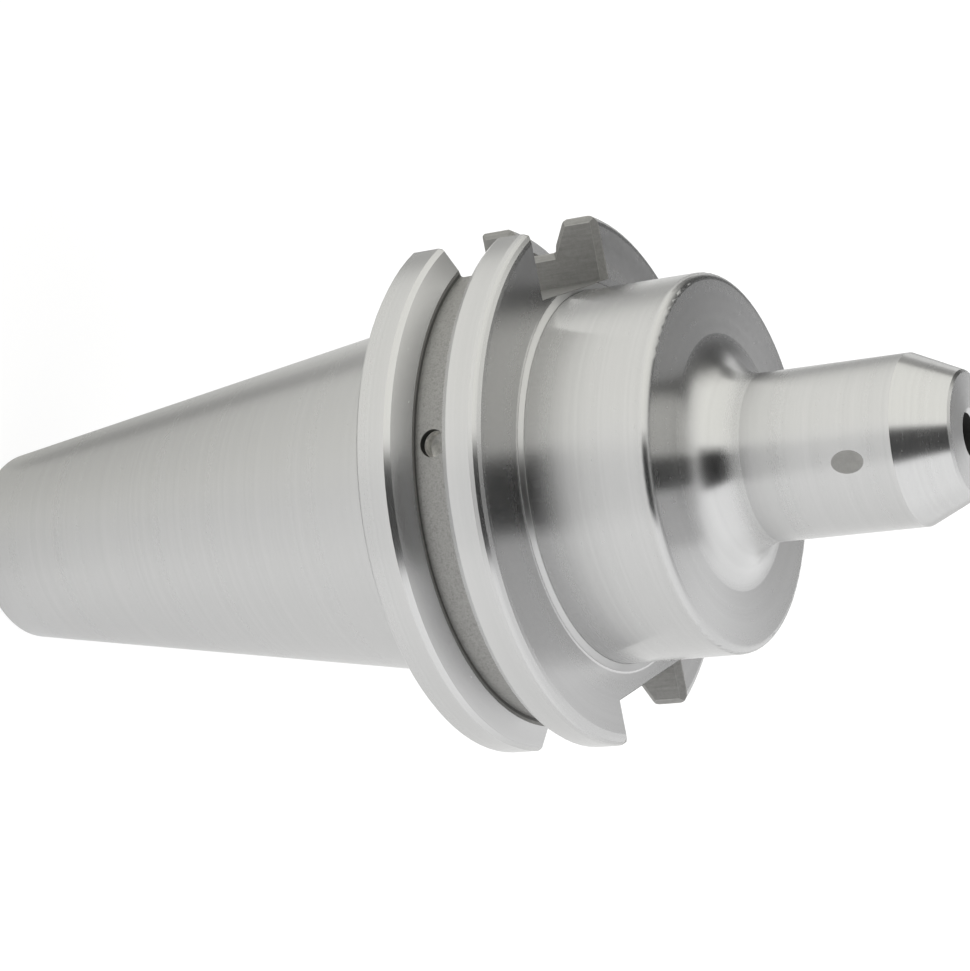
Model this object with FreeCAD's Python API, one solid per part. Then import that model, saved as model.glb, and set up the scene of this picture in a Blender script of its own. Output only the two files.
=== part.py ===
import FreeCAD, Part
import math
import os

# A side lock end mill holder with a size 40 V-flange shank, in millimetres.
# The axis is Z with the nose at +Z, and the origin is the centre of the gage line.

# Taper shank
GAGE_DIAMETER = 44.45
TAPER_PER_LENGTH = 7.0 / 24.0
SHANK_LENGTH = 68.25
SMALL_END_EDGE = 0.8
RELIEF_START = -0.6
RELIEF_DEPTH = 0.5
RELIEF_CORNER = 0.3

# Flange with its gripper groove
FLANGE_DIAMETER = 63.5
GAGE_TO_FLANGE = 3.175
FLANGE_WIDTH = 15.875
REAR_RIM_EDGE = 0.4
FRONT_RIM_ROUND = 1.3
FRONT_RIM_CONES = 4
GROOVE_CENTRE = 10.95
GROOVE_MOUTH = 7.08
GROOVE_FLANK_ANGLE = 30.0
GROOVE_FLANK_DEPTH = 2.75
GROOVE_DEPTH = 3.57
GROOVE_EDGE = 0.45

# Drive key slots through both rims, one floor deeper than the other
SLOT_WIDTH = 16.38
DEEP_SLOT_FLOOR = 22.61
SHALLOW_SLOT_FLOOR = 24.99
SLOT_EDGE = 0.8

# Balance drilling in the groove floor
BALANCE_DIAMETER = 3.175
BALANCE_DEPTH = 2.4
BALANCE_ANGLE = -111.2
BALANCE_SHIFT = 0.2
DRILL_POINT_ANGLE = 118.0

# Collar and nose
COLLAR_DIAMETER = 44.45
COLLAR_END = 34.65
COLLAR_ROOT_WIDTH = 1.15
COLLAR_ROOT_RISE = 0.4
COLLAR_EDGE_FILLET = 0.95
NOSE_DIAMETER = 19.55
NOSE_ROOT_FILLET = 5.25
PROJECTION = 63.5
NOSE_CONE_LENGTH = 5.9
NOSE_FACE_DIAMETER = 14.1
NOSE_FACE_EDGE = 0.25

# Shallow ground spot on the nose, cut by a wheel
SPOT_WHEEL_RADIUS = 20.5
SPOT_DEPTH = 0.085

# Bores
TOOL_BORE_DIAMETER = 4.7625
TOOL_BORE_DEPTH = 38.0
BORE_MOUTH_EDGE = 0.45
PASSAGE_DIAMETER = 8.0
KNOB_PILOT_DIAMETER = 16.28
KNOB_PILOT_DEPTH = 5.0
KNOB_PILOT_EDGE = 0.5
KNOB_THREAD_BORE = 13.6
KNOB_THREAD_DEPTH = 33.0

# Side lock screw, across the bore from the ground spot
SCREW_DIAMETER = 6.35
SCREW_LENGTH = 6.35
SCREW_TO_NOSE_FACE = 11.1
SCREW_TIP_TO_BORE = 0.25
SCREW_HOLE_CLEARANCE = 0.05
SCREW_HOLE_PAST_WALL = 1.2
SCREW_HOLE_EDGE = 0.45
SCREW_POINT_DIAMETER = 3.96
SCREW_POINT_ANGLE = 45.0
SCREW_TOP_EDGE = 0.4
SOCKET_ACROSS_FLATS = 3.175
SOCKET_DEPTH = 3.0
SOCKET_MOUTH_EDGE = 0.2

OVERLAP = 1.0

Vector = FreeCAD.Vector
gage_radius = GAGE_DIAMETER / 2
flange_radius = FLANGE_DIAMETER / 2
flange_front = GAGE_TO_FLANGE + FLANGE_WIDTH
groove_foot = flange_radius - GROOVE_FLANK_DEPTH
groove_floor = flange_radius - GROOVE_DEPTH
collar_radius = COLLAR_DIAMETER / 2
nose_radius = NOSE_DIAMETER / 2
nose_face_radius = NOSE_FACE_DIAMETER / 2
cone_start = PROJECTION - NOSE_CONE_LENGTH
bore_radius = TOOL_BORE_DIAMETER / 2
screw_height = PROJECTION - SCREW_TO_NOSE_FACE
screw_tip = bore_radius + SCREW_TIP_TO_BORE


def taper_radius(height):
    """Radius of the shank's cone at a height, negative towards the small end."""
    return gage_radius + height * TAPER_PER_LENGTH / 2


class Profile:
    """A closed outline in the XZ plane, drawn as points (radius, height) with worked corners."""

    def __init__(self):
        self.corners = []

    def point(self, radius, height, chamfer=0.0, fillet=0.0):
        """Adds a corner, cut back by a chamfer along both sides or rounded by a fillet."""
        self.corners.append((Vector(radius, 0, height), chamfer, fillet))

    def edges(self):
        count = len(self.corners)
        trimmed = []
        for index, (here, chamfer, fillet) in enumerate(self.corners):
            before = (self.corners[index - 1][0] - here).normalize()
            after = (self.corners[(index + 1) % count][0] - here).normalize()
            half_angle = before.getAngle(after) / 2
            back = chamfer + fillet / math.tan(half_angle)
            middle = None
            if fillet:
                bisector = (before + after).normalize()
                middle = here + bisector * (fillet / math.sin(half_angle) - fillet)
            trimmed.append((here + before * back, middle, here + after * back))
        result = []
        for index, (start, middle, end) in enumerate(trimmed):
            following = trimmed[(index + 1) % count][0]
            if middle:
                result.append(Part.Arc(start, middle, end).toShape())
            elif start.distanceToPoint(end) > 1e-6:
                result.append(Part.LineSegment(start, end).toShape())
            if end.distanceToPoint(following) > 1e-6:
                result.append(Part.LineSegment(end, following).toShape())
        return result

    def revolve(self):
        """The solid of revolution of the outline about the Z axis."""
        face = Part.Face(Part.Wire(self.edges()))
        return face.revolve(Vector(0, 0, 0), Vector(0, 0, 1), 360)


def groove_half_width(radius):
    """Half the gripper groove's width at a radius, on its slanted flanks."""
    slope = math.tan(math.radians(GROOVE_FLANK_ANGLE))
    return GROOVE_MOUTH / 2 - (flange_radius - radius) * slope


def make_turned_body():
    """The one-piece holder as it leaves the lathe: shank, flange, collar and nose, solid inside."""
    foot_half = groove_half_width(groove_foot)
    relief_radius = taper_radius(RELIEF_START) - RELIEF_DEPTH
    outline = Profile()
    outline.point(0, -SHANK_LENGTH)
    outline.point(taper_radius(-SHANK_LENGTH), -SHANK_LENGTH, chamfer=SMALL_END_EDGE)
    outline.point(taper_radius(RELIEF_START), RELIEF_START)
    outline.point(relief_radius, RELIEF_START + RELIEF_DEPTH)
    outline.point(relief_radius, GAGE_TO_FLANGE, chamfer=RELIEF_CORNER)
    outline.point(flange_radius, GAGE_TO_FLANGE, chamfer=REAR_RIM_EDGE)
    outline.point(flange_radius, GROOVE_CENTRE - GROOVE_MOUTH / 2, chamfer=GROOVE_EDGE)
    outline.point(groove_foot, GROOVE_CENTRE - foot_half)
    outline.point(groove_floor, GROOVE_CENTRE - foot_half)
    outline.point(groove_floor, GROOVE_CENTRE + foot_half)
    outline.point(groove_foot, GROOVE_CENTRE + foot_half)
    outline.point(flange_radius, GROOVE_CENTRE + GROOVE_MOUTH / 2, chamfer=GROOVE_EDGE)
    for step in range(FRONT_RIM_CONES + 1):
        turn = math.pi / 2 * step / FRONT_RIM_CONES
        inward = FRONT_RIM_ROUND * (1 - math.cos(turn))
        behind = FRONT_RIM_ROUND * (1 - math.sin(turn))
        outline.point(flange_radius - inward, flange_front - behind)
    outline.point(collar_radius + COLLAR_ROOT_WIDTH, flange_front)
    outline.point(collar_radius, flange_front + COLLAR_ROOT_RISE)
    outline.point(collar_radius, COLLAR_END, fillet=COLLAR_EDGE_FILLET)
    outline.point(nose_radius, COLLAR_END, fillet=NOSE_ROOT_FILLET)
    outline.point(nose_radius, cone_start)
    outline.point(nose_face_radius, PROJECTION, chamfer=NOSE_FACE_EDGE)
    outline.point(0, PROJECTION)
    return outline.revolve()


def cone_height(radius_change):
    """Height of a drill point's cone over a change of radius."""
    return radius_change / math.tan(math.radians(DRILL_POINT_ANGLE / 2))


def make_bores():
    """The hollow on the axis: knob pilot, knob thread bore, passage and tool bore."""
    pilot_radius = KNOB_PILOT_DIAMETER / 2
    thread_radius = KNOB_THREAD_BORE / 2
    passage_radius = PASSAGE_DIAMETER / 2
    pilot_end = -SHANK_LENGTH + KNOB_PILOT_DEPTH
    thread_end = -SHANK_LENGTH + KNOB_THREAD_DEPTH
    bore_start = PROJECTION - TOOL_BORE_DEPTH
    mouth = Profile()
    mouth.point(0, -SHANK_LENGTH - OVERLAP)
    mouth.point(pilot_radius + KNOB_PILOT_EDGE + OVERLAP, -SHANK_LENGTH - OVERLAP)
    mouth.point(pilot_radius, -SHANK_LENGTH + KNOB_PILOT_EDGE)
    mouth.point(pilot_radius, pilot_end)
    mouth.point(thread_radius + KNOB_PILOT_EDGE, pilot_end)
    mouth.point(thread_radius, pilot_end + KNOB_PILOT_EDGE)
    mouth.point(thread_radius, thread_end)
    mouth.point(passage_radius, thread_end + cone_height(thread_radius - passage_radius))
    mouth.point(passage_radius, bore_start - cone_height(passage_radius - bore_radius))
    mouth.point(bore_radius, bore_start)
    mouth.point(bore_radius, PROJECTION - BORE_MOUTH_EDGE)
    mouth.point(bore_radius + BORE_MOUTH_EDGE + OVERLAP, PROJECTION + OVERLAP)
    mouth.point(0, PROJECTION + OVERLAP)
    return mouth.revolve()


def rim_section(across, offset):
    """The flange's outline where a plane parallel to the axis cuts it, grown by an offset."""
    def from_axis(radius):
        return math.sqrt(radius ** 2 - across ** 2)
    rim = from_axis(flange_radius)
    floor = from_axis(groove_floor)
    floor_half = groove_half_width(groove_floor)
    points = [
        (0, GAGE_TO_FLANGE),
        (rim, GAGE_TO_FLANGE),
        (rim, GROOVE_CENTRE - GROOVE_MOUTH / 2),
        (floor, GROOVE_CENTRE - floor_half),
        (floor, GROOVE_CENTRE + floor_half),
        (rim, GROOVE_CENTRE + GROOVE_MOUTH / 2),
        (rim, flange_front),
        (0, flange_front),
    ]
    wire = Part.makePolygon([Vector(x, 0, z) for x, z in points + points[:1]])
    return wire.makeOffset2D(offset, 2) if offset else wire


def make_slot(floor_distance):
    """A drive key slot on the +X side, with its wall edges chamfered all round."""
    reach = flange_radius + OVERLAP
    depth = reach - floor_distance
    low = GAGE_TO_FLANGE - OVERLAP
    height = FLANGE_WIDTH + 2 * OVERLAP + COLLAR_ROOT_RISE
    half = SLOT_WIDTH / 2
    slot = Part.makeBox(depth, SLOT_WIDTH, height, Vector(floor_distance, -half, low))
    lead = SLOT_EDGE / 2
    nominal = half + SLOT_EDGE
    inner = rim_section(nominal, -SLOT_EDGE)
    inner.translate(Vector(0, half, 0))
    outer = rim_section(nominal, lead)
    outer.translate(Vector(0, nominal + lead, 0))
    kept = Part.makeLoft([inner, outer], True, True)
    slab = Part.makeBox(depth, SLOT_EDGE + lead, height, Vector(floor_distance, half, low))
    chamfer = slab.cut(kept)
    mirrored = chamfer.mirror(Vector(0, 0, 0), Vector(0, 1, 0))
    return slot.fuse([chamfer, mirrored])


def make_balance_drilling():
    """The radial drilling in the groove floor, with the cone that a drill leaves."""
    radius = BALANCE_DIAMETER / 2
    shoulder = groove_floor - BALANCE_DEPTH
    hole = Profile()
    hole.point(0, shoulder - cone_height(radius))
    hole.point(radius, shoulder)
    hole.point(radius, flange_radius)
    hole.point(0, flange_radius)
    solid = hole.revolve()
    solid.rotate(Vector(0, 0, 0), Vector(0, 1, 0), 90)
    solid.rotate(Vector(0, 0, 0), Vector(0, 0, 1), BALANCE_ANGLE)
    solid.translate(Vector(0, 0, GROOVE_CENTRE + BALANCE_SHIFT))
    return solid


def make_spot_cut():
    """The part of a wheel's rim that leaves the shallow oval spot on the nose's -Y side."""
    centre = Vector(-nose_radius, -(nose_radius - SPOT_DEPTH + SPOT_WHEEL_RADIUS), screw_height)
    wheel = Part.makeCylinder(SPOT_WHEEL_RADIUS, NOSE_DIAMETER, centre, Vector(1, 0, 0))
    corner = Vector(-nose_radius, -nose_radius - OVERLAP, screw_height - nose_radius / 2)
    return wheel.common(Part.makeBox(NOSE_DIAMETER, nose_radius, nose_radius, corner))


def make_screw_hole():
    """The cross hole for the side lock screw, from the tool bore out through the +Y side."""
    radius = SCREW_DIAMETER / 2 + SCREW_HOLE_CLEARANCE
    shoulder = bore_radius - SCREW_HOLE_PAST_WALL
    hole = Profile()
    hole.point(0, shoulder - cone_height(radius))
    hole.point(radius, shoulder)
    hole.point(radius, nose_radius - SCREW_HOLE_EDGE)
    hole.point(radius + SCREW_HOLE_EDGE + OVERLAP, nose_radius + OVERLAP)
    hole.point(0, nose_radius + OVERLAP)
    solid = hole.revolve()
    solid.rotate(Vector(0, 0, 0), Vector(1, 0, 0), -90)
    solid.translate(Vector(0, 0, screw_height))
    return solid


def make_holder():
    """The holder's body with its bores, slots, drilling, spot and screw hole."""
    far_slot = make_slot(DEEP_SLOT_FLOOR)
    far_slot.rotate(Vector(0, 0, 0), Vector(0, 0, 1), 180)
    cuts = [
        make_bores(),
        make_slot(SHALLOW_SLOT_FLOOR),
        far_slot,
        make_balance_drilling(),
        make_spot_cut(),
        make_screw_hole(),
    ]
    return make_turned_body().cut(cuts)


def make_socket():
    """The hex socket from the screw's outer end inwards, with a countersunk mouth."""
    corner = SOCKET_ACROSS_FLATS / math.sqrt(3)
    floor = SCREW_LENGTH - SOCKET_DEPTH
    turns = [math.radians(60 * step) for step in range(7)]
    points = [Vector(corner * math.cos(turn), corner * math.sin(turn), floor) for turn in turns]
    prism = Part.Face(Part.makePolygon(points)).extrude(Vector(0, 0, SOCKET_DEPTH + OVERLAP))
    point_depth = cone_height(SOCKET_ACROSS_FLATS / 2)
    drilled = Part.makeCone(0, SOCKET_ACROSS_FLATS / 2, point_depth, Vector(0, 0, floor - point_depth))
    low = SCREW_LENGTH - SOCKET_MOUTH_EDGE
    mouth = Part.makeCone(corner, corner + SOCKET_MOUTH_EDGE, SOCKET_MOUTH_EDGE, Vector(0, 0, low))
    return prism.fuse([drilled, mouth])


def make_screw():
    """The side lock set screw: flat point towards the bore, hex socket outwards."""
    radius = SCREW_DIAMETER / 2
    point_radius = SCREW_POINT_DIAMETER / 2
    point_height = (radius - point_radius) * math.tan(math.radians(SCREW_POINT_ANGLE))
    body = Profile()
    body.point(0, 0)
    body.point(point_radius, 0)
    body.point(radius, point_height)
    body.point(radius, SCREW_LENGTH, chamfer=SCREW_TOP_EDGE)
    body.point(0, SCREW_LENGTH)
    screw = body.revolve().cut(make_socket())
    screw.rotate(Vector(0, 0, 0), Vector(1, 0, 0), -90)
    screw.translate(Vector(0, screw_tip, screw_height))
    return screw


def single_solid(shape, name):
    """The one solid of a finished shape, refined, or an error if it is not one sound solid."""
    refined = shape.removeSplitter()
    if len(refined.Solids) != 1 or not refined.isValid():
        raise ValueError(name + " is not one valid solid")
    return refined.Solids[0]


def main():
    os.makedirs("parts", exist_ok=True)
    nodes = {
        "holder_body": make_holder(),
        "side_lock_screw": make_screw(),
    }
    for name, shape in nodes.items():
        solid = single_solid(shape, name)
        solid.exportStep("parts/" + name + ".step")
        box = solid.BoundBox
        print(name, "volume", round(solid.Volume, 1), "box", box)


main()
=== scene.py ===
import math

import bpy
import numpy as np
from mathutils import Matrix, Vector


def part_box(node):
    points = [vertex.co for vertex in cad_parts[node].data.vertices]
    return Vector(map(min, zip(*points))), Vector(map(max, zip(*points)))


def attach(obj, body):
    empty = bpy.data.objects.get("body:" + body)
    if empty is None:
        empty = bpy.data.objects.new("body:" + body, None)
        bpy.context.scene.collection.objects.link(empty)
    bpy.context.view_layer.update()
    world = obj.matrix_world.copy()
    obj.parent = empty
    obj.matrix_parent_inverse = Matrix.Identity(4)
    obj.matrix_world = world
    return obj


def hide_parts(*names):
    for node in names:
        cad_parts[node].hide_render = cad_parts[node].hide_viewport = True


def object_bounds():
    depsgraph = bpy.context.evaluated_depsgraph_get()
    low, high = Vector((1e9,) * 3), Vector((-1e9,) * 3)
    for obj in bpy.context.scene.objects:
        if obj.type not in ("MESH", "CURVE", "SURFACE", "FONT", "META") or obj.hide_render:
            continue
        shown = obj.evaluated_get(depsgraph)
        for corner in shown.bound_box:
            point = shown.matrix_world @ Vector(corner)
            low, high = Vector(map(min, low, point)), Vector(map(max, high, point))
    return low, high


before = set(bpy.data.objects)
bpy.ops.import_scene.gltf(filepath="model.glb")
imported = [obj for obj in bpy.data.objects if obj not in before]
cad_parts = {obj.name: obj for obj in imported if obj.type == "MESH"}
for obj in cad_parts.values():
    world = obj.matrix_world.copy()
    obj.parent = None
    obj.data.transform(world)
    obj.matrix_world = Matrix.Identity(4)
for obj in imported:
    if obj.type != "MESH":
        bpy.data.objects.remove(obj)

bl_info = {
    "name": "Side Lock End Mill Holder",
    "version": (1, 0, 0),
    "blender": (4, 5, 0),
    "location": "View3D > Sidebar > End Mill Holder",
    "description": "Dresses a steel end mill holder, and builds its screw, knob thread and studio",
    "category": "Object",
}

HOLDER_NODE = "holder_body"
SCREW_NODE = "side_lock_screw"
HOLDER_BODY = "holder"
SCREW_BODY = "lock_screw"
STEEL_MATERIAL = "turned_and_ground_steel"
MM = 0.001

cad_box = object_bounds()
screw_low, screw_high = (Vector(corner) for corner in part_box(SCREW_NODE))

# Heights of the holder's turned features on its axis, in millimetres
SMALL_END = cad_box[0][2] / MM
NOSE_FACE = cad_box[1][2] / MM
TAPER_END = -0.6
REAR_FACE = 3.175
GROOVE_CENTRE = 10.95
FRONT_FACE = 19.05
ROOT_END = 19.45
COLLAR_FACE = 34.65

# Radii of the holder's turned features, in millimetres
FLANGE_RADIUS = 31.75
FLANK_END = 31.37
GROOVE_FOOT = 29.0
GROOVE_FLOOR = 28.18
# Band where the groove's floor meets its flanks, which takes painted shade
GROOVE_CORNER = (28.24, 28.60)
ROOT_RADIUS = 23.375
ROOT_SHINE_END = 23.095
COLLAR_RADIUS = 22.225

# Half widths of the gripper groove's floor and of its flanks, with a margin, in millimetres
GROOVE_FLOOR_HALF = 2.0
GROOVE_FLANK_HALF = 3.6

# Radii of the rounded edges of the flange's front rim and of the collar's end, in millimetres
RIM_ROUND = 1.3
COLLAR_ROUND = 0.95

# Drive key slots, with the width of the chamfer along their edges, in millimetres
SLOT_HALF_WIDTH = 8.19
SLOT_EDGE = 0.8
DEEP_SLOT_FLOOR = 22.61
SHALLOW_SLOT_FLOOR = 24.99
SLOT_FLOOR_MARGIN = 0.06
# Half width of the painted highlight lines along the slots' edges
SLOT_LINE_HALF = 0.07

# Ground oval spot on the nose, in millimetres
SPOT_HALF_WIDTH = 1.30
SPOT_HALF_LENGTH = 1.87
SPOT_SIDE = -8.0

# Balance drilling in the groove: its angle in degrees, and the rest in millimetres.
# Its wall has painted shade from the mouth down to the painted light, which begins this far from the
# holder's axis.
DRILLING_ANGLE = -111.2
DRILLING_HEIGHT = 11.15
DRILLING_RADIUS = 1.62
DRILLING_SHINE = 27.2
DRILLING_REACH = 20.0

# Bores and the knob thread inside the holder, in millimetres
KNOB_BORE_RADIUS = 8.7
KNOB_THREAD_LOW = -63.2
KNOB_THREAD_HIGH = -35.4
KNOB_THREAD_RADIUS = 6.8
BORE_LIMIT_RADIUS = 6.95

# Half widths of the soft steps between two zones of a material, in millimetres
CRISP = 0.01
CLOSE = 0.02
SOFT = 0.05

# Camera, fitted to the photograph: metres, in the part's own frame
CAMERA_PLACE = Vector((-0.04242, -0.27298, 0.15640))
CAMERA_RIGHT = Vector((0.1923, 0.4612, 0.8662))
CAMERA_UP = Vector((-0.9725, 0.2080, 0.1052))
CAMERA_LENS = 96.41
CAMERA_SENSOR = 36.0


# ---------------------------------------------------------------- shader maths

class Reading:
    """A number read from a socket, so that sums written in Python add Math nodes."""

    def __init__(self, graph, socket):
        self.graph = graph
        self.socket = socket

    def math(self, operation, *others):
        return self.graph.math(operation, self, *others)

    def __add__(self, other):
        return self.math("ADD", other)

    def __radd__(self, other):
        return self.graph.math("ADD", other, self)

    def __sub__(self, other):
        return self.math("SUBTRACT", other)

    def __rsub__(self, other):
        return self.graph.math("SUBTRACT", other, self)

    def __mul__(self, other):
        return self.math("MULTIPLY", other)

    def __rmul__(self, other):
        return self.graph.math("MULTIPLY", other, self)

    def __truediv__(self, other):
        return self.math("DIVIDE", other)

    def __rtruediv__(self, other):
        return self.graph.math("DIVIDE", other, self)

    def __neg__(self):
        return self.graph.math("MULTIPLY", self, -1.0)

    def __abs__(self):
        return self.math("ABSOLUTE")

    def __pow__(self, other):
        return self.math("POWER", other)

    def above(self, edge, soft):
        """1 well above the edge and 0 well below it, with a smooth step as wide as soft each way."""
        made = self.graph.node(
            "ShaderNodeMapRange",
            {"interpolation_type": "SMOOTHSTEP"},
            {"Value": self, "From Min": edge - soft, "From Max": edge + soft},
        )
        return Reading(self.graph, made.outputs["Result"])

    def below(self, edge, soft):
        """1 well below the edge and 0 well above it."""
        return 1 - self.above(edge, soft)

    def between(self, low, high, soft):
        """1 well within the two edges and 0 well outside them."""
        return self.above(low, soft) * self.below(high, soft)

    def either(self, other):
        """The larger of two masks."""
        return self.math("MAXIMUM", other)


class Graph:
    """The node tree of one material or world, with short ways to add to it."""

    def __init__(self, owner):
        owner.use_nodes = True
        self.tree = owner.node_tree
        self.tree.nodes.clear()

    def node(self, kind, settings=None, sockets=None):
        """Adds a node of a kind, sets its settings first, then fills or links its sockets."""
        made = self.tree.nodes.new(kind)
        for name, value in (settings or {}).items():
            setattr(made, name, value)
        for name, value in (sockets or {}).items():
            if isinstance(value, Reading):
                value = value.socket
            if isinstance(value, bpy.types.NodeSocket):
                self.tree.links.new(value, made.inputs[name])
            else:
                made.inputs[name].default_value = value
        return made

    def math(self, operation, *values):
        """A Math node on numbers and readings."""
        sockets = dict(enumerate(values))
        made = self.node("ShaderNodeMath", {"operation": operation}, sockets)
        return Reading(self, made.outputs[0])

    def place(self):
        """The point on the object in millimetres: the vector's socket and its x, y and z."""
        source = self.node("ShaderNodeTexCoord").outputs["Object"]
        scaled = self.node("ShaderNodeVectorMath", {"operation": "SCALE"}, {0: source, "Scale": 1 / MM})
        parts = self.node("ShaderNodeSeparateXYZ", None, {0: scaled.outputs[0]})
        return scaled.outputs[0], [Reading(self, output) for output in parts.outputs]

    def noise(self, place, scale, detail, stretch=None):
        """Fractal noise from 0 to 1 at a vector, with the pattern stretched by a factor per axis."""
        if stretch:
            made = self.node("ShaderNodeVectorMath", {"operation": "MULTIPLY"}, {0: place, 1: stretch})
            place = made.outputs[0]
        sockets = {"Vector": place, "Scale": scale, "Detail": detail}
        return Reading(self, self.node("ShaderNodeTexNoise", None, sockets).outputs["Fac"])

    def rings(self, along, per_mm):
        """Noise around 0 along one number, the same all round the axis."""
        sockets = {"W": along, "Scale": per_mm, "Detail": 1.0}
        made = self.node("ShaderNodeTexNoise", {"noise_dimensions": "1D"}, sockets)
        return Reading(self, made.outputs["Fac"]) - 0.5

    def blend(self, share, first, second):
        """A colour between two, each a colour or a colour's socket."""
        made = self.node("ShaderNodeMix", {"data_type": "RGBA"}, {0: share, 6: first, 7: second})
        return made.outputs[2]

    def tint(self, colour, factor):
        """A colour scaled by a number read from a socket."""
        made = self.node("ShaderNodeVectorMath", {"operation": "SCALE"}, {0: colour, "Scale": factor})
        return made.outputs[0]

    def bump(self, height):
        """A normal from a height in millimetres."""
        sockets = {"Height": height * MM, "Strength": 1.0, "Distance": 1.0}
        return self.node("ShaderNodeBump", None, sockets).outputs[0]

    def closeness(self, view, towards):
        """How closely a view's socket points along a vector: their dot product."""
        made = self.node("ShaderNodeVectorMath", {"operation": "DOT_PRODUCT"}, {0: view, 1: towards})
        return Reading(self, made.outputs["Value"])

    def ray(self, kind):
        """1 on rays of a kind that the Light Path node names, and 0 on others."""
        return Reading(self, self.node("ShaderNodeLightPath").outputs[kind])

    def finish(self, shader, kind="ShaderNodeOutputMaterial"):
        """Links the shader to the material's or the world's output."""
        self.node(kind, None, {"Surface": shader})


# ---------------------------------------------------------------- holder's steel

class SteelSettings(bpy.types.PropertyGroup):
    colour: bpy.props.FloatVectorProperty(
        name="Steel", description="Colour of the bright turned steel",
        subtype="COLOR", size=3, min=0, max=1, default=(0.505, 0.505, 0.504))
    milled_colour: bpy.props.FloatVectorProperty(
        name="Milled Steel", description="Colour of the slots and the groove's floor",
        subtype="COLOR", size=3, min=0, max=1, default=(0.246, 0.244, 0.237))
    # Painted shade on the groove's flanks, which lie in the groove's recess
    flank_painted_shade: bpy.props.FloatProperty(
        name="Flank Shade", description="Brightness of the groove's flanks beside the turned steel's",
        default=0.86, min=0, max=1)
    # Painted shade on the flange's front face, beside the collar
    face_painted_shade: bpy.props.FloatProperty(
        name="Face Shade", description="Brightness of the flange's front face beside the turned steel's",
        default=0.88, min=0, max=1)
    turned_roughness: bpy.props.FloatProperty(
        name="Turned Roughness", description="Roughness of the turned surfaces",
        default=0.26, min=0, max=1)
    milled_roughness: bpy.props.FloatProperty(
        name="Milled Roughness", description="Roughness of the slots and the groove's floor",
        default=0.58, min=0, max=1)
    ring_height: bpy.props.FloatProperty(
        name="Ring Height", description="Height of the tool's rings, in millimetres",
        default=0.0004, min=0)


# Rings that the tools leave, in rings per millimetre along the outline
FINE_RINGS = 2.8
MIDDLE_RINGS = 1.0
BROAD_RINGS = 0.35

# How much each pattern changes the turned steel's brightness and roughness, as a share. The rounded rim
# and collar end get painted shade.
RING_SHADE = 0.05
STREAK_SHADE = 0.05
ROUNDING_PAINTED_SHADE = 0.10
BROAD_ROUGHNESS = 0.05
STREAK_ROUGHNESS = 0.06
ROOT_ROUGHNESS = 0.10

# Heights beside the ring height, and the slope that turns the collar's root outwards
FINE_HEIGHT = 0.7
TAPER_LOSS = 0.3
MIDDLE_HEIGHT = 2.0
ROOT_SLOPE = 0.85

# Milled places: what is added to the brightness first, then lost as a share. The slot edges' gain is a
# painted highlight, and the losses are painted shade: in the groove's corner, on the drilling's wall by
# its mouth and inside the bores.
MILLED_GAIN = {"chamfer": 0.35, "slot": -0.12, "slot_edge_highlight": 0.30, "spot": 0.30}
MILLED_PAINTED_SHADE = {"groove_corner": 0.80, "drilling_wall": 0.85, "inside": 0.60}
GRAIN_SHADE = 0.5
SPECKLE_SHADE = 0.35
CUTTER_LINE_SHADE = 0.55
FLOOR_GRAIN_SHADE = 0.5
FLOOR_GRIT_LOSS = 0.22
FLOOR_GAIN = 0.40
DRILLING_PAINTED_LIGHT = 0.6
DRILLING_SPECKLE = 3.2
MILLED_GRAIN_HEIGHT = 0.012
MILLED_GRAIN_ROUGHNESS = 0.2


def slot_zones(x, y, z):
    """The drive key slots, their chamfers, and the lines where a chamfer meets its neighbours, which
    take painted highlights.
    """
    wall = abs(y)
    chamfer_end = SLOT_HALF_WIDTH + SLOT_EDGE
    past_floor = (
        (x - SHALLOW_SLOT_FLOOR).above(-SLOT_FLOOR_MARGIN, CLOSE)
        + (-x - DEEP_SLOT_FLOOR).above(-SLOT_FLOOR_MARGIN, CLOSE))
    in_flange = z.between(REAR_FACE - 0.1, FRONT_FACE + 0.9, SOFT)
    slot = wall.below(chamfer_end, CRISP) * past_floor * in_flange
    line = sum(abs(wall - end).below(SLOT_LINE_HALF, SOFT) for end in (SLOT_HALF_WIDTH, chamfer_end))
    chamfer = slot * wall.above(SLOT_HALF_WIDTH + 0.03, CLOSE)
    return {"slot": slot, "chamfer": chamfer, "slot_edge_highlight": slot * line}


def groove_zones(radius, z, outside_slots):
    """The gripper groove's floor, the corner at each side of the floor, and the flanks."""
    beside = abs(z - GROOVE_CENTRE)
    floor = radius.between(GROOVE_FLOOR - 0.2, GROOVE_FOOT - 0.02, CLOSE)
    floor = floor * beside.below(GROOVE_FLOOR_HALF, 0.03) * outside_slots
    # Painted shade: a dark line in the corner where the floor meets the flanks
    corner = floor * radius.between(*GROOVE_CORNER, 0.04)
    flank = radius.between(GROOVE_FOOT - 0.02, FLANK_END, CLOSE)
    flank = flank * beside.below(GROOVE_FLANK_HALF, SOFT) * outside_slots
    return {"groove_floor": floor, "groove_corner": corner, "groove_flank": flank}


def edge_zones(radius, z):
    """The collar's root, the flange's front face, and the rounded rim and collar end."""
    root = radius.between(COLLAR_RADIUS + 0.01, ROOT_SHINE_END, 0.04)
    root = root * z.between(FRONT_FACE + 0.01, ROOT_END, CRISP)
    front_face = abs(z - FRONT_FACE).below(0.02, CRISP) * radius.above(ROOT_RADIUS, SOFT)
    rim = (z - FRONT_FACE).above(-0.5 * RIM_ROUND, 0.4 * RIM_ROUND)
    rim = rim * radius.above(FLANGE_RADIUS - RIM_ROUND, 0.1)
    collar_end = (z - COLLAR_FACE).above(-0.5 * COLLAR_ROUND, 0.4 * COLLAR_ROUND)
    collar_end = collar_end * radius.between(COLLAR_RADIUS - COLLAR_ROUND, COLLAR_RADIUS + 0.5, 0.1)
    rounding = (rim + collar_end) * (1 - front_face)
    return {"root": root, "front_face": front_face, "rounding": rounding}


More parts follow.
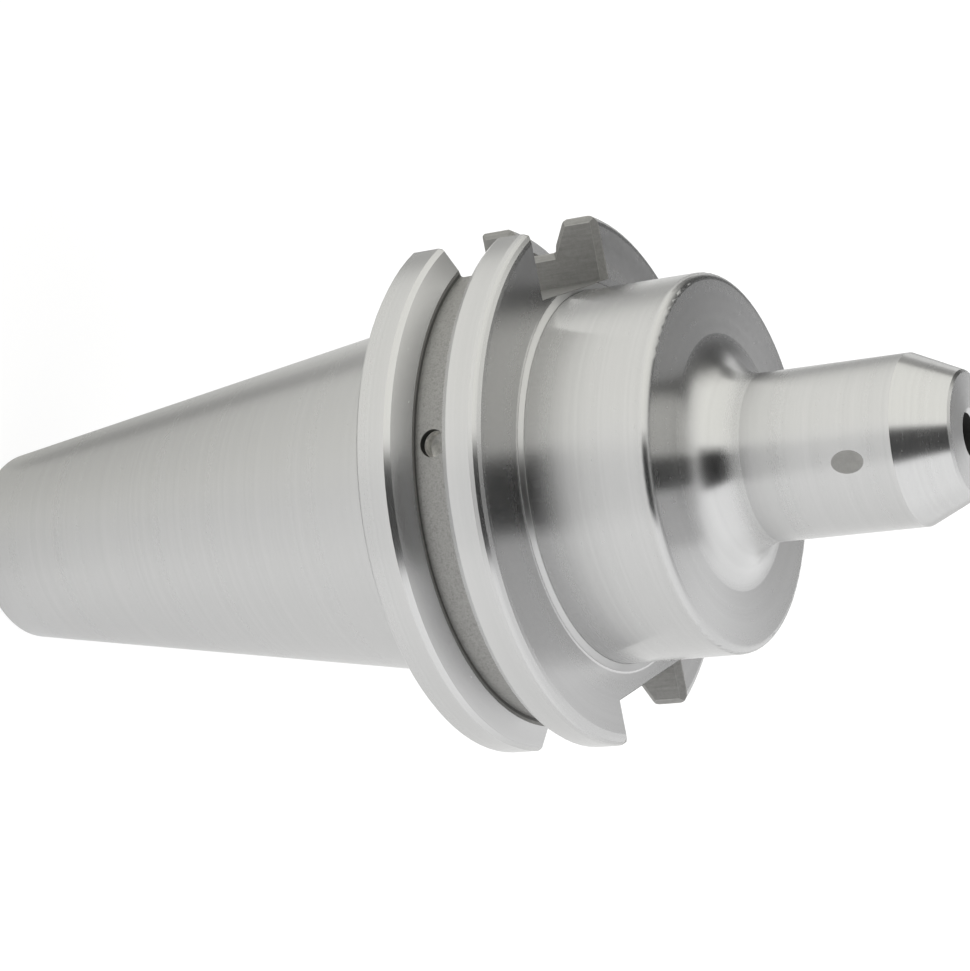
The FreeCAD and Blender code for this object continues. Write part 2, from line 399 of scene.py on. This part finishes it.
def sunk_zones(radius, x, y, z):
    """The oval spot, the drilling with its wall, and the bores."""
    across = x / SPOT_HALF_WIDTH
    along = (z - (screw_low.z + screw_high.z) / 2 / MM) / SPOT_HALF_LENGTH
    spot = ((across * across + along * along) ** 0.5).below(1.0, 0.03) * y.below(SPOT_SIDE, 0.5)
    turn = math.radians(DRILLING_ANGLE)
    aside = x * -math.sin(turn) + y * math.cos(turn)
    outward = x * math.cos(turn) + y * math.sin(turn)
    above = z - DRILLING_HEIGHT
    drilling = ((aside * aside + above * above) ** 0.5).below(DRILLING_RADIUS, CRISP)
    drilling = drilling * radius.below(GROOVE_FLOOR - 0.06, 0.03) * outward.above(DRILLING_REACH, 1.0)
    # Painted shade on the drilling's wall by its mouth
    wall = drilling * outward.above(DRILLING_SHINE, CLOSE)
    # Painted shade inside the bores
    inside = radius.below(BORE_LIMIT_RADIUS, CLOSE) * z.below(NOSE_FACE - 0.5, SOFT)
    inside = inside.either(radius.below(KNOB_BORE_RADIUS, CLOSE) * z.below(0.0, 1.0))
    return {"spot": spot, "drilling": drilling, "drilling_wall": wall, "inside": inside}


def holder_zones(x, y, z):
    """Masks of the holder's surfaces by name, each from its place on the part."""
    radius = (x * x + y * y) ** 0.5
    zone = slot_zones(x, y, z)
    zone.update(groove_zones(radius, z, 1 - zone["slot"]))
    zone.update(edge_zones(radius, z))
    zone.update(sunk_zones(radius, x, y, z))
    zone["milled"] = zone["slot"]
    for name in ("groove_floor", "spot", "drilling", "inside"):
        zone["milled"] = zone["milled"].either(zone[name])
    return radius, zone


class HOLDER_OT_steel(bpy.types.Operator):
    """Give the holder's body its turned, ground and milled steel"""
    bl_idname = "holder.steel"
    bl_label = "Finish Holder Body"

    def execute(self, context):
        values = context.scene.holder_steel
        material = bpy.data.materials.new(STEEL_MATERIAL)
        graph = Graph(material)
        place, (x, y, z) = graph.place()
        radius, zone = holder_zones(x, y, z)
        polished = self.add_turned(graph, values, place, z, radius, zone)
        matte = self.add_milled(graph, values, place, zone)
        mixed = graph.node("ShaderNodeMixShader", None, {
            0: zone["milled"], 1: polished.outputs[0], 2: matte.outputs[0],
        })
        graph.finish(mixed.outputs[0])
        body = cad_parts[HOLDER_NODE]
        for slot in body.material_slots:
            slot.material = material
        return {"FINISHED"}

    def add_turned(self, graph, values, place, z, radius, zone):
        """Bright steel with rings round the axis, which run outwards on the flat faces."""
        planes = (SMALL_END, REAR_FACE, FRONT_FACE, COLLAR_FACE, NOSE_FACE)
        flat = sum(abs(z - height).below(0.03, CLOSE) for height in planes)
        along = z + flat * radius
        fine = graph.rings(along, FINE_RINGS)
        middle = graph.rings(along, MIDDLE_RINGS)
        broad = graph.rings(along, BROAD_RINGS)
        streak = graph.noise(place, 1.0, 4.0, (1.4, 1.4, 9.0)) - 0.5
        shade = 1 + (fine + middle) * RING_SHADE + streak * STREAK_SHADE
        # Painted shade: the groove's flanks are darker
        shade = shade * (1 - zone["groove_flank"] * (1 - values.flank_painted_shade))
        # Painted shade: the flange's front face is darker
        shade = shade * (1 - zone["front_face"] * (1 - values.face_painted_shade))
        # Painted shade on the rounded rim and collar end
        shade = shade * (1 - zone["rounding"] * ROUNDING_PAINTED_SHADE)
        roughness = values.turned_roughness + broad * BROAD_ROUGHNESS + streak * STREAK_ROUGHNESS
        roughness = roughness + zone["root"] * ROOT_ROUGHNESS
        taper = z.below(TAPER_END, CLOSE)
        height = fine * values.ring_height * (FINE_HEIGHT - taper * TAPER_LOSS)
        height = height + middle * values.ring_height * MIDDLE_HEIGHT
        height = height + zone["root"] * (ROOT_RADIUS - radius) * ROOT_SLOPE
        return graph.node("ShaderNodeBsdfPrincipled", None, {
            "Base Color": graph.tint(tuple(values.colour), shade),
            "Metallic": 1.0, "Roughness": roughness,
            "Anisotropic": 0.95, "Anisotropic Rotation": 0.25,
            "Normal": graph.bump(height * (1 - zone["milled"])),
        })

    def add_milled(self, graph, values, place, zone):
        """Dull grainy steel of the slots, the groove's floor, the spot, the drilling and the bores."""
        speckle = graph.noise(place, 1.6, 3.0)
        grain = graph.noise(place, 7.0, 4.0) - 0.5
        grit = graph.noise(place, 3.6, 3.0).above(0.58, 0.10)
        cutter_lines = graph.noise(place, 1.0, 3.0, (3.2, 3.2, 0.25)) - 0.5
        shade = 1 + grain * GRAIN_SHADE + (speckle - 0.5) * SPECKLE_SHADE
        shade = shade + zone["slot"] * cutter_lines * CUTTER_LINE_SHADE
        shade = shade + zone["groove_floor"] * (grain * FLOOR_GRAIN_SHADE - grit * FLOOR_GRIT_LOSS)
        for name, gain in MILLED_GAIN.items():
            shade = shade + zone[name] * gain
        for name, loss in MILLED_PAINTED_SHADE.items():
            shade = shade * (1 - zone[name] * loss)
        # Painted light on the drilling's lower wall and bottom, mottled by the speckle
        bottom = zone["drilling"] - zone["drilling_wall"]
        shade = shade + bottom * (DRILLING_PAINTED_LIGHT + speckle * DRILLING_SPECKLE)
        shade = shade + zone["groove_floor"] * FLOOR_GAIN
        return graph.node("ShaderNodeBsdfPrincipled", None, {
            "Base Color": graph.tint(tuple(values.milled_colour), shade),
            "Metallic": 0.85,
            "Roughness": values.milled_roughness + grain * MILLED_GRAIN_ROUGHNESS,
            "Normal": graph.bump(grain * MILLED_GRAIN_HEIGHT),
        })


# ---------------------------------------------------------------- side lock screw

class ScrewSettings(bpy.types.PropertyGroup):
    colour: bpy.props.FloatVectorProperty(
        name="Oxide", description="Colour of the black oxide",
        subtype="COLOR", size=3, min=0, max=1, default=(0.045, 0.045, 0.050))
    worn_colour: bpy.props.FloatVectorProperty(
        name="Worn Edge", description="Colour of the steel that shows at worn edges",
        subtype="COLOR", size=3, min=0, max=1, default=(0.30, 0.30, 0.29))
    pitch: bpy.props.FloatProperty(
        name="Pitch", description="Distance between two turns of the thread",
        unit="LENGTH", default=0.907 * MM, min=0.1 * MM)
    thread_depth: bpy.props.FloatProperty(
        name="Thread Depth", description="Depth of the thread below its crest",
        unit="LENGTH", default=0.50 * MM, min=0)
    point_radius: bpy.props.FloatProperty(
        name="Point Radius", description="Radius of the flat point",
        unit="LENGTH", default=1.98 * MM, min=0)
    top_edge: bpy.props.FloatProperty(
        name="Top Edge", description="Width of the outer end's chamfer",
        unit="LENGTH", default=0.4 * MM, min=0)
    socket_across_flats: bpy.props.FloatProperty(
        name="Socket", description="Hex socket's size across its flats",
        unit="LENGTH", default=3.175 * MM, min=0)
    socket_depth: bpy.props.FloatProperty(
        name="Socket Depth", description="Depth of the hex socket",
        unit="LENGTH", default=3.0 * MM, min=0)


# The skin's columns round the axis and its steps along the thread
SCREW_COLUMNS = 192
SCREW_STEPS = 168

# Share of the pitch that is flat at the thread's root, and share that its two flanks take
THREAD_ROOT_SHARE = 0.12
THREAD_FLANK_SHARE = 0.76

# The hex socket's mouth is wider than its corners by this, in millimetres, and the drill's
# point at its bottom has this half angle, in degrees
SOCKET_MOUTH = 0.2
SOCKET_DRILL_HALF_ANGLE = 59.0

# Wear reaches this far below the thread's crests and the outer end, in millimetres
CREST_WEAR = 0.06
END_WEAR = 0.12
END_WEAR_SHARE = 0.4


def ease(value):
    """A smooth step: three times the square minus twice the cube of the value kept within 0 and 1."""
    value = np.clip(value, 0.0, 1.0)
    return value * value * (3.0 - 2.0 * value)


def closed_lathe(name, radii, heights, origin, axes, hollow=False):
    """A closed skin around an axis.

    Each row of radii and heights is one ring, and each column one angle round the axis. The
    point is the origin plus the radius times the cosine along the first axis, the radius times
    the sine along the second, and the height along the third. Both ends close on a pole, or on
    each other where the skin is a hollow sleeve's.
    """
    rows, columns = radii.shape
    angle = np.linspace(0.0, 2.0 * np.pi, columns, endpoint=False)
    first, second, third = (np.array(axis, dtype=float) for axis in axes)
    ring = (radii * np.cos(angle))[..., None] * first + (radii * np.sin(angle))[..., None] * second
    ring = ring + heights[..., None] * third
    poles = np.array([heights[0].mean() * third, heights[-1].mean() * third])
    points = np.vstack([ring.reshape(-1, 3), poles]) + np.array(origin)
    index = np.arange(rows * columns).reshape(rows, columns)
    above = np.roll(index, -1, axis=0) if hollow else index[1:]
    below = index if hollow else index[:-1]
    quads = np.stack([below, np.roll(below, -1, axis=1), np.roll(above, -1, axis=1), above], axis=-1)
    faces = quads.reshape(-1, 4).tolist()
    if hollow:
        points = points[:-2]
    else:
        following = np.roll(index, -1, axis=1)
        low = np.full(columns, rows * columns)
        faces += np.stack([low, following[0], index[0]], axis=-1).tolist()
        faces += np.stack([low + 1, index[-1], following[-1]], axis=-1).tolist()
    mesh = bpy.data.meshes.new(name)
    mesh.from_pydata(points.tolist(), [], faces)
    mesh.update()
    piece = bpy.data.objects.new(name, mesh)
    bpy.context.scene.collection.objects.link(piece)
    return piece


def stations(start, end, steps):
    """A column of numbers spaced evenly from start to end, in a number of steps."""
    return np.linspace(start, end, steps + 1)[:, None]


class HOLDER_OT_lock_screw(bpy.types.Operator):
    """Build the threaded side lock screw with its hex socket"""
    bl_idname = "holder.lock_screw"
    bl_label = "Build Side Lock Screw"

    def execute(self, context):
        """Turn one profile of flat point, thread, chamfer, hex socket and drill cone.

        The thread's radius rises and falls with the height over the pitch less the angle over a
        full turn, which makes it right-handed. The socket's radius is half its size across the
        flats over the cosine of the angle from the middle of the nearest flat.
        """
        values = context.scene.holder_screw
        length = screw_high.y - screw_low.y
        crest = (screw_high.x - screw_low.x) / 2
        root = crest - values.thread_depth
        angle = np.linspace(0.0, 2.0 * np.pi, SCREW_COLUMNS, endpoint=False)
        height = stations(0.0, length, SCREW_STEPS) + 0 * angle
        phase = np.mod(height / values.pitch - angle / (2.0 * np.pi), 1.0)
        ridge = np.clip((np.abs(phase - 0.5) * 2.0 - THREAD_ROOT_SHARE) / THREAD_FLANK_SHARE, 0.0, 1.0)
        thread = root + (crest - root) * ridge
        point = values.point_radius + height
        edge = crest - values.top_edge + (length - height)
        wall = np.minimum(np.minimum(thread, point), edge)
        flats = values.socket_across_flats / 2
        turn = np.mod(angle + np.pi / 6, np.pi / 3) - np.pi / 6
        hexagon = flats / np.cos(turn)
        corner = flats / math.cos(math.pi / 6)
        mouth = corner + SOCKET_MOUTH * MM
        inward = stations(0.0, 1.0, 6)
        top_radii = wall[-1] + (mouth - wall[-1]) * inward
        sunk_radii = mouth + (hexagon - mouth) * inward[1:]
        sunk_heights = length - (mouth - sunk_radii)
        socket_floor = length - values.socket_depth
        hex_heights = sunk_heights[-1] + (socket_floor - sunk_heights[-1]) * inward[1:]
        cone_radii = hexagon * (1.0 - inward[1:-1])
        cone_depth = cone_radii[0].max() / math.tan(math.radians(SOCKET_DRILL_HALF_ANGLE))
        cone_heights = socket_floor - cone_depth * inward[1:-1] + 0 * angle
        start_radii = values.point_radius * stations(0.05, 1.0, 5)[:-1] + 0 * angle
        radii = np.vstack([
            start_radii, wall, top_radii[1:], sunk_radii, hexagon + 0 * hex_heights, cone_radii,
        ])
        heights = np.vstack([
            0 * start_radii, height, 0 * top_radii[1:] + length, sunk_heights, hex_heights, cone_heights,
        ])
        middle = (screw_low + screw_high) / 2
        origin = (middle.x, screw_low.y, middle.z)
        axes = ((0, 0, 1), (1, 0, 0), (0, 1, 0))
        screw = closed_lathe("lock_screw_threaded", radii, heights, origin, axes)
        self.dress(screw, values, middle, crest)
        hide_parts(SCREW_NODE)
        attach(screw, SCREW_BODY)
        return {"FINISHED"}

    def dress(self, screw, values, middle, crest):
        """Black oxide, a little worn along the thread's crests and the outer edges."""
        material = bpy.data.materials.new("black_oxide")
        graph = Graph(material)
        place, (x, y, z) = graph.place()
        up = z - middle.z / MM
        radius = (x * x + up * up) ** 0.5
        blotch = graph.noise(place, 1.2, 4.0)
        grain = graph.noise(place, 9.0, 4.0)
        worn = radius.above(crest / MM - CREST_WEAR, SOFT) * blotch.above(0.42, 0.12)
        outer_end = y.above(screw_high.y / MM - END_WEAR, SOFT) * blotch.above(0.48, 0.10)
        wear = worn.either(outer_end * END_WEAR_SHARE)
        dark = graph.tint(tuple(values.colour), 0.8 + blotch * 0.6)
        colour = graph.blend(wear, dark, (*values.worn_colour, 1.0))
        shader = graph.node("ShaderNodeBsdfPrincipled", None, {
            "Base Color": colour, "Metallic": 0.9,
            "Roughness": 0.42 + (grain - 0.5) * 0.2 - wear * 0.08,
            "Normal": graph.bump((grain - 0.5) * 0.006),
        })
        graph.finish(shader.outputs[0])
        screw.data.materials.append(material)
        screw.data.shade_smooth()
        screw.data.set_sharp_from_angle(angle=math.radians(35))


# ---------------------------------------------------------------- knob thread

# The thread's sleeve is sunk a little in the bore's wall and very thin, in millimetres
SLEEVE_SUNK = 0.02
SLEEVE_THICKNESS = 0.03

# The sleeve's columns round the axis and its steps along it
SLEEVE_COLUMNS = 96
SLEEVE_STEPS = 120


class ThreadSettings(bpy.types.PropertyGroup):
    pitch: bpy.props.FloatProperty(
        name="Pitch", description="Distance between two turns of the knob thread",
        unit="LENGTH", default=2.309 * MM, min=0.1 * MM)
    height: bpy.props.FloatProperty(
        name="Height", description="Height of the thread's ridge above the bore's wall",
        unit="LENGTH", default=0.40 * MM, min=0)


class HOLDER_OT_knob_thread(bpy.types.Operator):
    """Build the right-handed thread inside the small end"""
    bl_idname = "holder.knob_thread"
    bl_label = "Build Knob Thread"

    def execute(self, context):
        """A sleeve in the bore's wall, with a ridge that is right-handed and fades at both ends."""
        values = context.scene.holder_thread
        angle = np.linspace(0.0, 2.0 * np.pi, SLEEVE_COLUMNS, endpoint=False)
        low, high = KNOB_THREAD_LOW * MM, KNOB_THREAD_HIGH * MM
        wall = (KNOB_THREAD_RADIUS + SLEEVE_SUNK) * MM
        height = stations(high, low, SLEEVE_STEPS) + 0 * angle
        phase = np.mod(height / values.pitch - angle / (2.0 * np.pi), 1.0)
        ridge = np.clip(np.abs(phase - 0.5) * 3.0 - 0.5, 0.0, 1.0)
        fade = ease((height - low) / values.pitch) * ease((high - height) / values.pitch)
        inner = wall - values.height * ridge * fade - SLEEVE_THICKNESS * MM
        outer_height = stations(low, high, 1) + 0 * angle
        radii = np.vstack([0 * outer_height + wall, inner])
        heights = np.vstack([outer_height, height])
        axes = ((1, 0, 0), (0, 1, 0), (0, 0, 1))
        thread = closed_lathe("knob_thread_ridge", radii, heights, (0, 0, 0), axes, hollow=True)
        thread.data.materials.append(bpy.data.materials[STEEL_MATERIAL])
        thread.data.shade_smooth()
        thread.data.set_sharp_from_angle(angle=math.radians(35))
        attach(thread, HOLDER_BODY)
        return {"FINISHED"}


# ---------------------------------------------------------------- studio

class StudioSettings(bpy.types.PropertyGroup):
    floor_colour: bpy.props.FloatVectorProperty(
        name="Floor", description="Colour of the pale floor",
        subtype="COLOR", size=3, min=0, max=1, default=(0.86, 0.86, 0.86))
    floor_radius: bpy.props.FloatProperty(
        name="Floor Radius", description="Radius of the round floor",
        unit="LENGTH", default=3.0, min=0.1)
    white_share: bpy.props.FloatProperty(
        name="White Share", description="How much of the floor shows as plain white",
        default=0.7, min=0, max=1)
    white_level: bpy.props.FloatProperty(
        name="White Level", description="Brightness of the floor's plain white",
        default=1.22, min=0)
    mirrored_level: bpy.props.FloatProperty(
        name="Mirrored Level", description="Brightness of the floor as the steel mirrors it",
        default=2.05, min=0)
    level: bpy.props.FloatProperty(
        name="Studio Level", description="Brightness of the studio's white walls",
        default=1.39, min=0)


# Soft darker areas of the studio: azimuth, elevation, inner and outer half angle, and brightness
STUDIO_AREAS = (
    (-96.0, 24.0, 16.5, 27.0, 0.01),
    (-93.0, 46.0, 14.0, 25.0, 0.03),
    (-91.0, 66.0, 12.0, 21.0, 0.06),
    (76.0, 74.0, 5.0, 15.0, 0.25),
    (84.0, 62.0, 12.0, 30.0, 0.55),
    (-95.0, 3.0, 4.0, 22.0, 0.55),
    (102.5, 27.0, 16.0, 23.8, 0.12),
    (112.0, 20.0, 15.0, 38.0, 0.68),
    (88.0, 54.0, 8.0, 19.0, 0.25),
    (89.0, 4.0, 6.0, 14.0, 0.40),
    (128.0, 5.0, 5.0, 15.0, 0.25),
    (50.0, 5.0, 15.0, 60.0, 0.92),
)

# A painted shadow strip on the floor, which only the steel's reflections show. It starts here and heads
# this way, in millimetres and degrees, and runs straight for a length. Past that it bends, and all
# along it widens, by an angle in radians for each millimetre.
STRIP_START = (-14.0, -4.0)
STRIP_TURN = 147.0
STRIP_STRAIGHT = 80.0
STRIP_BEND = 0.0021
STRIP_SPREAD = 0.0004
STRIP_HALF_ANGLE = 0.15
STRIP_EDGE = 0.06
STRIP_PAINTED_SHADOW = 0.42

# The floor has a painted shadow round the small end, weaker on the lit side: a distance and the half
# width of its soft edge in millimetres, then the shadow's depth and its change from one side to the
# other
NEAR_FLOOR = (100.0, 80.0)
LIT_SIDE = (0.64, -0.77)
NEAR_PAINTED_SHADOW = (0.14, 0.18)
NEAR_WHITE_PAINTED_SHADOW = (0.36, 0.20)

# Further out the mirrored floor has painted light on one side and painted shade on the other
FAR_FLOOR = (120.0, 60.0)
FAR_SIDE = (-0.64, -0.77)
FAR_PAINTED_LIGHT = 0.11

# Share of the floor's plain white that the steel mirrors, and the floor's mottling
MIRRORED_SHARE = 0.45
MOTTLE_SHADE = 0.02

# The studio's light is a little warmer on one side, and the floor's white has the same warmth painted on
# that side
WARM_SIDE = (-0.95, 0.0, 0.3)
WARM_LIGHT = (1.0, 0.995, 0.945, 1.0)
WARM_EDGE = (0.45, 0.4)


def direction(azimuth, elevation):
    """The vector that points at an azimuth and an elevation, both in degrees."""
    turn = math.radians(azimuth)
    rise = math.radians(elevation)
    return (math.cos(turn) * math.cos(rise), math.sin(turn) * math.cos(rise), math.sin(rise))


class HOLDER_OT_studio(bpy.types.Operator):
    """Set up the camera, the white studio and the floor"""
    bl_idname = "holder.studio"
    bl_label = "Set Up Studio"

    def execute(self, context):
        values = context.scene.holder_studio
        scene = context.scene
        self.add_camera(scene)
        self.add_world(scene, values)
        self.add_floor(values)
        scene.view_settings.view_transform = "Standard"
        return {"FINISHED"}

    def add_camera(self, scene):
        """A camera at the photograph's place, with its right and up directions made square."""
        data = bpy.data.cameras.new("camera")
        data.sensor_width = CAMERA_SENSOR
        data.lens = CAMERA_LENS
        data.clip_start = 0.01
        data.clip_end = 20.0
        camera = bpy.data.objects.new("camera", data)
        scene.collection.objects.link(camera)
        right = CAMERA_RIGHT.normalized()
        back = right.cross(CAMERA_UP).normalized()
        up = back.cross(right)
        turn = Matrix((right, up, back)).transposed().to_4x4()
        camera.matrix_world = Matrix.Translation(CAMERA_PLACE) @ turn
        scene.camera = camera

    def add_world(self, scene, values):
        """White walls all round with a few soft, darker areas that the steel reflects."""
        world = bpy.data.worlds.new("studio")
        graph = Graph(world)
        view = graph.node("ShaderNodeTexCoord").outputs["Generated"]
        level = values.level
        for azimuth, elevation, inner, outer, brightness in STUDIO_AREAS:
            low, high = math.cos(math.radians(outer)), math.cos(math.radians(inner))
            closeness = graph.closeness(view, direction(azimuth, elevation))
            area = closeness.above((low + high) / 2, (high - low) / 2)
            level = level * (1 - area * (1 - brightness))
        seen = graph.ray("Is Camera Ray")
        strength = level * (1 - seen) + seen
        warmth = graph.closeness(view, WARM_SIDE).above(*WARM_EDGE) * (1 - seen)
        colour = graph.blend(warmth, (1, 1, 1, 1), WARM_LIGHT)
        shader = graph.node("ShaderNodeBackground", None, {"Color": colour, "Strength": strength})
        graph.finish(shader.outputs[0], "ShaderNodeOutputWorld")
        scene.world = world

    def add_floor(self, values):
        """A round floor under the small end: a flat disc of rings, in polar coordinates."""
        columns = 96
        angle = np.linspace(0.0, 2.0 * np.pi, columns, endpoint=False)
        steps = np.array([0.1, 0.4, 1.0])[:, None] * values.floor_radius
        points = np.stack([steps * np.cos(angle), steps * np.sin(angle), 0 * steps * angle], axis=-1)
        points = np.vstack([points.reshape(-1, 3), np.zeros((1, 3))])
        points = points + np.array((0.0, 0.0, cad_box[0][2]))
        index = np.arange(3 * columns).reshape(3, columns)
        following = np.roll(index, -1, axis=1)
        quads = np.stack([index[:-1], index[1:], following[1:], following[:-1]], axis=-1).reshape(-1, 4)
        centre = np.full(columns, 3 * columns)
        middle = np.stack([centre, index[0], following[0]], axis=-1)
        mesh = bpy.data.meshes.new("floor")
        mesh.from_pydata(points.tolist(), [], quads.tolist() + middle.tolist())
        mesh.update()
        floor = bpy.data.objects.new("floor", mesh)
        bpy.context.scene.collection.objects.link(floor)
        floor.data.materials.append(self.floor_material(values))

    def floor_material(self, values):
        """Pale and diffuse under the object's shadow, with plain white over it for what sees it."""
        material = bpy.data.materials.new("pale_floor")
        graph = Graph(material)
        place, (x, y, _) = graph.place()
        away = (x * x + y * y) ** 0.5
        near = away.below(*NEAR_FLOOR)
        far = away.above(*FAR_FLOOR)
        lit = (x * LIT_SIDE[0] + y * LIT_SIDE[1]) / (away + 1.0)
        facing = (x * FAR_SIDE[0] + y * FAR_SIDE[1]) / (away + 1.0)
        seen = graph.ray("Is Camera Ray")
        mirrored = graph.ray("Is Glossy Ray")
        through = graph.ray("Is Transmission Ray")
        # Painted shadow strip, which only the steel's reflections show
        shadow_strip = self.painted_shadow_strip(graph, x, y) * mirrored
        # Painted light and shade on the far floor, which only the steel's reflections show
        far_painted_light = 1 + far * facing * mirrored * FAR_PAINTED_LIGHT
        mottle = graph.noise(place, 0.05, 2.0)
        # Painted shadow round the small end, weaker on the lit side
        shade = 1 + (mottle - 0.5) * MOTTLE_SHADE - near * (NEAR_PAINTED_SHADOW[0] - lit * NEAR_PAINTED_SHADOW[1])
        shade = shade * (1 - shadow_strip * STRIP_PAINTED_SHADOW) * far_painted_light
        colour = graph.tint(tuple(values.floor_colour), shade)
        plain = graph.node("ShaderNodeBsdfDiffuse", None, {"Color": colour})
        strength = seen * (values.white_level - values.mirrored_level) + values.mirrored_level
        # Painted warm light on one side of the floor's white, which only reflections show
        warmth = (x * WARM_SIDE[0] / (away + 1.0)).above(*WARM_EDGE) * (1 - seen)
        tinted = graph.blend(warmth, (1, 1, 1, 1), WARM_LIGHT)
        sockets = {"Color": tinted, "Strength": strength * far_painted_light}
        white = graph.node("ShaderNodeEmission", None, sockets)
        # The mirrored white has the painted shadow round the small end too
        outside_painted_shadow = 1 - near * (NEAR_WHITE_PAINTED_SHADOW[0] - lit * NEAR_WHITE_PAINTED_SHADOW[1])
        share = seen + (mirrored + through) * (1 - shadow_strip) * outside_painted_shadow * MIRRORED_SHARE
        mixed = graph.node("ShaderNodeMixShader", None, {
            0: share * values.white_share, 1: plain.outputs[0], 2: white.outputs[0],
        })
        graph.finish(mixed.outputs[0])
        return material

    def painted_shadow_strip(self, graph, x, y):
        """A soft painted shadow strip across the floor that starts beside the small end and bends as it
        widens.
        """
        from_x, from_y = x - STRIP_START[0], y - STRIP_START[1]
        distance = (from_x * from_x + from_y * from_y) ** 0.5
        turn = graph.math("ARCTAN2", from_y, from_x)
        bent = (distance - STRIP_STRAIGHT).math("MAXIMUM", 0.0) * STRIP_BEND
        middle = math.radians(STRIP_TURN) - bent
        beside = abs(turn - middle) - distance * STRIP_SPREAD
        return beside.below(STRIP_HALF_ANGLE, STRIP_EDGE)


class HOLDER_PT_panel(bpy.types.Panel):
    bl_idname = "HOLDER_PT_panel"
    bl_label = "End Mill Holder"
    bl_space_type = "VIEW_3D"
    bl_region_type = "UI"
    bl_category = "End Mill Holder"

    def draw(self, context):
        scene = context.scene
        groups = (
            (scene.holder_steel, "holder.steel"),
            (scene.holder_screw, "holder.lock_screw"),
            (scene.holder_thread, "holder.knob_thread"),
            (scene.holder_studio, "holder.studio"),
        )
        for group, operator in groups:
            box = self.layout.box()
            for name in group.__annotations__:
                box.prop(group, name)
            box.operator(operator)


SETTINGS = (
    ("holder_steel", SteelSettings),
    ("holder_screw", ScrewSettings),
    ("holder_thread", ThreadSettings),
    ("holder_studio", StudioSettings),
)
OPERATORS = (HOLDER_OT_steel, HOLDER_OT_lock_screw, HOLDER_OT_knob_thread, HOLDER_OT_studio)


def register():
    for name, group in SETTINGS:
        bpy.utils.register_class(group)
        setattr(bpy.types.Scene, name, bpy.props.PointerProperty(type=group))
    for item in OPERATORS + (HOLDER_PT_panel,):
        bpy.utils.register_class(item)


def unregister():
    for item in reversed(OPERATORS + (HOLDER_PT_panel,)):
        bpy.utils.unregister_class(item)
    for name, group in reversed(SETTINGS):
        delattr(bpy.types.Scene, name)
        bpy.utils.unregister_class(group)


def main():
    register()
    bpy.ops.holder.steel()
    bpy.ops.holder.lock_screw()
    bpy.ops.holder.knob_thread()
    bpy.ops.holder.studio()


if __name__ == "__main__":
    main()
